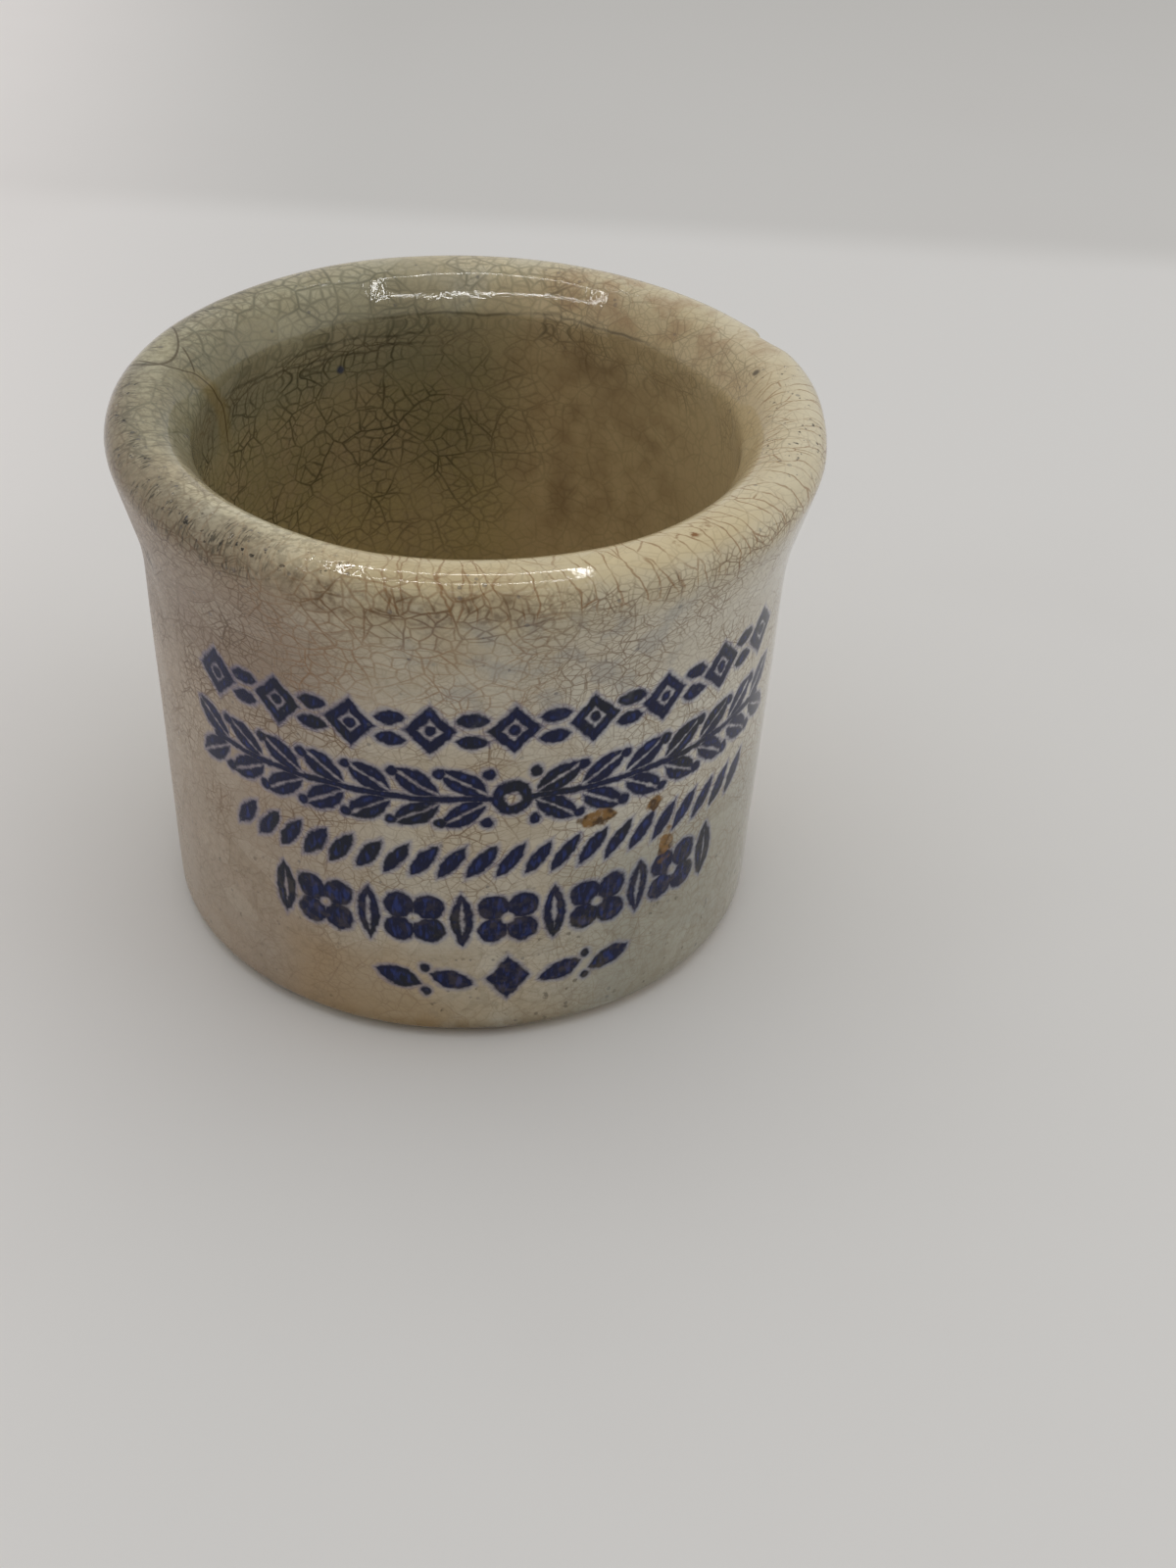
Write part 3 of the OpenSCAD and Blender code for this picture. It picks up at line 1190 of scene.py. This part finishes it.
def wiped_glaze():
    """The thin crazed glaze in the recess under the base."""
    material, tree, shader = new_material("wiped_glaze")
    spot = use_group(tree, POT_PLACES)["Spot"]
    x, y, _ = spot.parts()
    wobble = (noise(spot, SHAKE_SIZE) - 0.5) * SHAKE
    net = use_group(
        tree, CRAZING, Around=x + wobble, Run=y - wobble, Cell=1.2, Wide=1.0, Width=0.05, Soft=0.09
    )
    lines = net["Long"].most(net["Fine"] * 0.8)
    smear = noise(spot, 4.0, 4.0)
    colour = ramp(smear, BASE_SHADES)
    colour = paint(colour, lines * 0.7, srgb(110, 88, 60))
    feed(shader.inputs["Base Color"], colour)
    feed(shader.inputs["Roughness"], smear * 0.3 + 0.12)
    relief(shader, noise(spot, 1.2) * 0.03 - lines * 0.02)
    return material


def dress(piece, material):
    """Gives a piece one material."""
    piece.data.materials.clear()
    piece.data.materials.append(material)


dress(shell, crazed_glaze())
dress(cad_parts["earthenware_body"], stained_biscuit())
dress(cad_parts["base_glaze"], wiped_glaze())


# Camera

CAMERA_AIM_H = 18.0
CAMERA_DISTANCE = 168.83
CAMERA_ELEVATION = 33.48
CAMERA_PAN = -3.0
CAMERA_TILT = 3.19
CAMERA_ROLL = 0.73
FOCAL_PIXELS = 2404
PHOTO_H = 1600
SENSOR = 36.0
CLIP_START = 0.01


def add_camera():
    """The photograph's viewpoint, a short telephoto held a little off level."""
    rise = math.radians(CAMERA_ELEVATION)
    place = Vector((
        0.0,
        -CAMERA_DISTANCE * math.cos(rise),
        CAMERA_AIM_H + CAMERA_DISTANCE * math.sin(rise),
    ))
    start_clean()
    bpy.ops.object.camera_add(location=place * MM)
    camera = bpy.context.object
    camera.data.sensor_width = SENSOR
    camera.data.lens = SENSOR * FOCAL_PIXELS / PHOTO_H
    camera.data.clip_start = CLIP_START
    facing = Matrix.Rotation(math.pi / 2 - rise, 3, "X")
    pan = Matrix.Rotation(math.radians(CAMERA_PAN), 3, "Y")
    tilt = Matrix.Rotation(math.radians(-CAMERA_TILT), 3, "X")
    roll = Matrix.Rotation(math.radians(CAMERA_ROLL), 3, "Z")
    camera.rotation_euler = (facing @ pan @ tilt @ roll).to_euler()
    bpy.context.scene.camera = camera


add_camera()
bpy.context.scene.view_settings.view_transform = "Standard"


# Stage and light

# The paper in metres, and the line behind the pot where painted shade begins, standing in for a
# backdrop curving up
FLOOR_SIZE = 6.0
BACKDROP_SHADE_Y = 0.117
BACKDROP_SHADE_SLOPE = -0.088
LIT_PAPER = srgb(230, 228, 225)
DIM_PAPER = srgb(198, 196, 192)

# The room's light low down, overhead and in front, and how it looks itself
HORIZON = 0.42
ZENITH = 0.95
FRONT = 0.1
ROOM_LOOK = srgb(203, 201, 198)

# Two rings of short strip lights that the glaze mirrors, one for the far lip and one for the near
# lip: their corners in millimetres, and the place on the lip that the strips face. That place
# moves sideways with the strip, by the first of its three numbers
FAR_RING = ((-60, 52), (50, 20), (138, -140), (60, -172), (-70, -155), (-165, -95))
FAR_LIP = (0.065, 21.0, 38.0)
NEAR_RING = ((-38, 132), (38, 132), (79, -32), (-79, -32))
NEAR_LIP = (0.16, -22.5, 38.0)
RING_H = 240.0
RING_POWER = 0.006
STRIP_W = 5.0
STRIP_LENGTH = 34.0
STRIP_SPREAD = math.radians(18)


def pale_paper():
    """White paper, with painted shade beyond a line at the back and painted light towards the left."""
    material, tree, shader = new_material("pale_paper")
    spot = Field(tree.nodes.new("ShaderNodeTexCoord").outputs["Object"])
    x, y, _ = spot.parts()
    # Painted shade beyond a line at the back, standing in for a backdrop curving up behind the pot
    behind = y - x * BACKDROP_SHADE_SLOPE - BACKDROP_SHADE_Y
    painted_backdrop_shade = behind.rising(-0.004, 0.006) * 0.45 + behind.rising(0.0, 0.18) * 0.4
    tone = painted_backdrop_shade * x.near(0.0, 0.1, 0.2)
    cloud = noise(spot, 0.05, 3.0)
    colour = ramp(tone, [(0.0, LIT_PAPER), (1.0, DIM_PAPER)])
    # Painted light: the paper brighter towards the left
    colour = paint(colour, x.near(-0.19, 0.1, 0.08), srgb(255, 250, 247))
    colour = paint(colour, cloud.rising(0.45, 0.8) * 0.12, srgb(206, 200, 196))
    feed(shader.inputs["Base Color"], colour)
    feed(shader.inputs["Roughness"], cloud * 0.2 + 0.75)
    shader.inputs["Specular IOR Level"].default_value = 0.0
    return material


def add_stage():
    """The sheet of paper that the pot stands on."""
    start_clean()
    bpy.ops.mesh.primitive_plane_add(size=FLOOR_SIZE)
    floor = bpy.context.object
    floor.name = "floor_sheet"
    dress(floor, pale_paper())


def area_lamp(name, place, size, power, aim):
    """A rectangular lamp that doesn't show itself."""
    start_clean()
    bpy.ops.object.light_add(type="AREA", location=place)
    lamp = bpy.context.object
    lamp.name = name
    lamp.data.shape = "RECTANGLE"
    lamp.data.size, lamp.data.size_y = size
    lamp.data.energy = power
    lamp.rotation_euler = (Vector(aim) - Vector(place)).to_track_quat("-Z", "Y").to_euler()
    lamp.visible_camera = False
    return lamp


def add_strip(start, end, power, aim):
    """A thin lamp from point to point that faces a third, for highlights alone."""
    place = (start + end) / 2
    back = (place - aim).normalized()
    side = back.cross(end - start).normalized()
    strip = area_lamp("ring_strip", place, ((end - start).length, STRIP_W * MM), power, aim)
    strip.rotation_euler = Matrix((side.cross(back), side, back)).transposed().to_euler()
    strip.data.spread = STRIP_SPREAD
    strip.visible_diffuse = False


def add_ring(ring, lip):
    """A ring of strips that face one side of the lip. The ring's power is in watts a metre."""
    share, lip_y, lip_z = lip
    corners = [Vector((x, y, RING_H)) * MM for x, y in ring]
    for start, end in zip(corners, corners[1:] + corners[:1]):
        length = (end - start).length
        pieces = math.ceil(length / (STRIP_LENGTH * MM))
        for piece in range(pieces):
            a = start.lerp(end, piece / pieces)
            b = start.lerp(end, (piece + 1) / pieces)
            aim = Vector(((a.x + b.x) / 2 * share, lip_y * MM, lip_z * MM))
            add_strip(a, b, RING_POWER * length / pieces, aim)


def add_room():
    """Soft light from all round, brightest overhead, and dim low in front where the booth is open.

    The room itself looks as pale as the paper.
    """
    world = bpy.data.worlds.new("room")
    world.use_nodes = True
    tree = world.node_tree
    _, y, z = Field(tree.nodes.new("ShaderNodeTexCoord").outputs["Generated"]).parts()
    open_front = (-y).rising(0.2, 0.75) * z.rising(0.8, 0.4)
    sky = ramp(z, [(0.0, (HORIZON,) * 3), (1.0, (ZENITH,) * 3)])
    sky = paint(sky, open_front, (FRONT,) * 3)
    path = tree.nodes.new("ShaderNodeLightPath").outputs
    rays = ("Is Camera Ray", "Is Glossy Ray", "Is Transmission Ray")
    seen = reduce(Field.most, [Field(path[ray]) for ray in rays])
    feed(tree.nodes["Background"].inputs["Color"], paint(sky, seen, ROOM_LOOK))
    bpy.context.scene.world = world


add_stage()
add_ring(FAR_RING, FAR_LIP)
add_ring(NEAR_RING, NEAR_LIP)
area_lamp("right_panel", place=(0.38, -0.02, 0.17), size=(0.4, 0.3), power=0.14, aim=(0.0, 0.0, 0.02))
add_room()
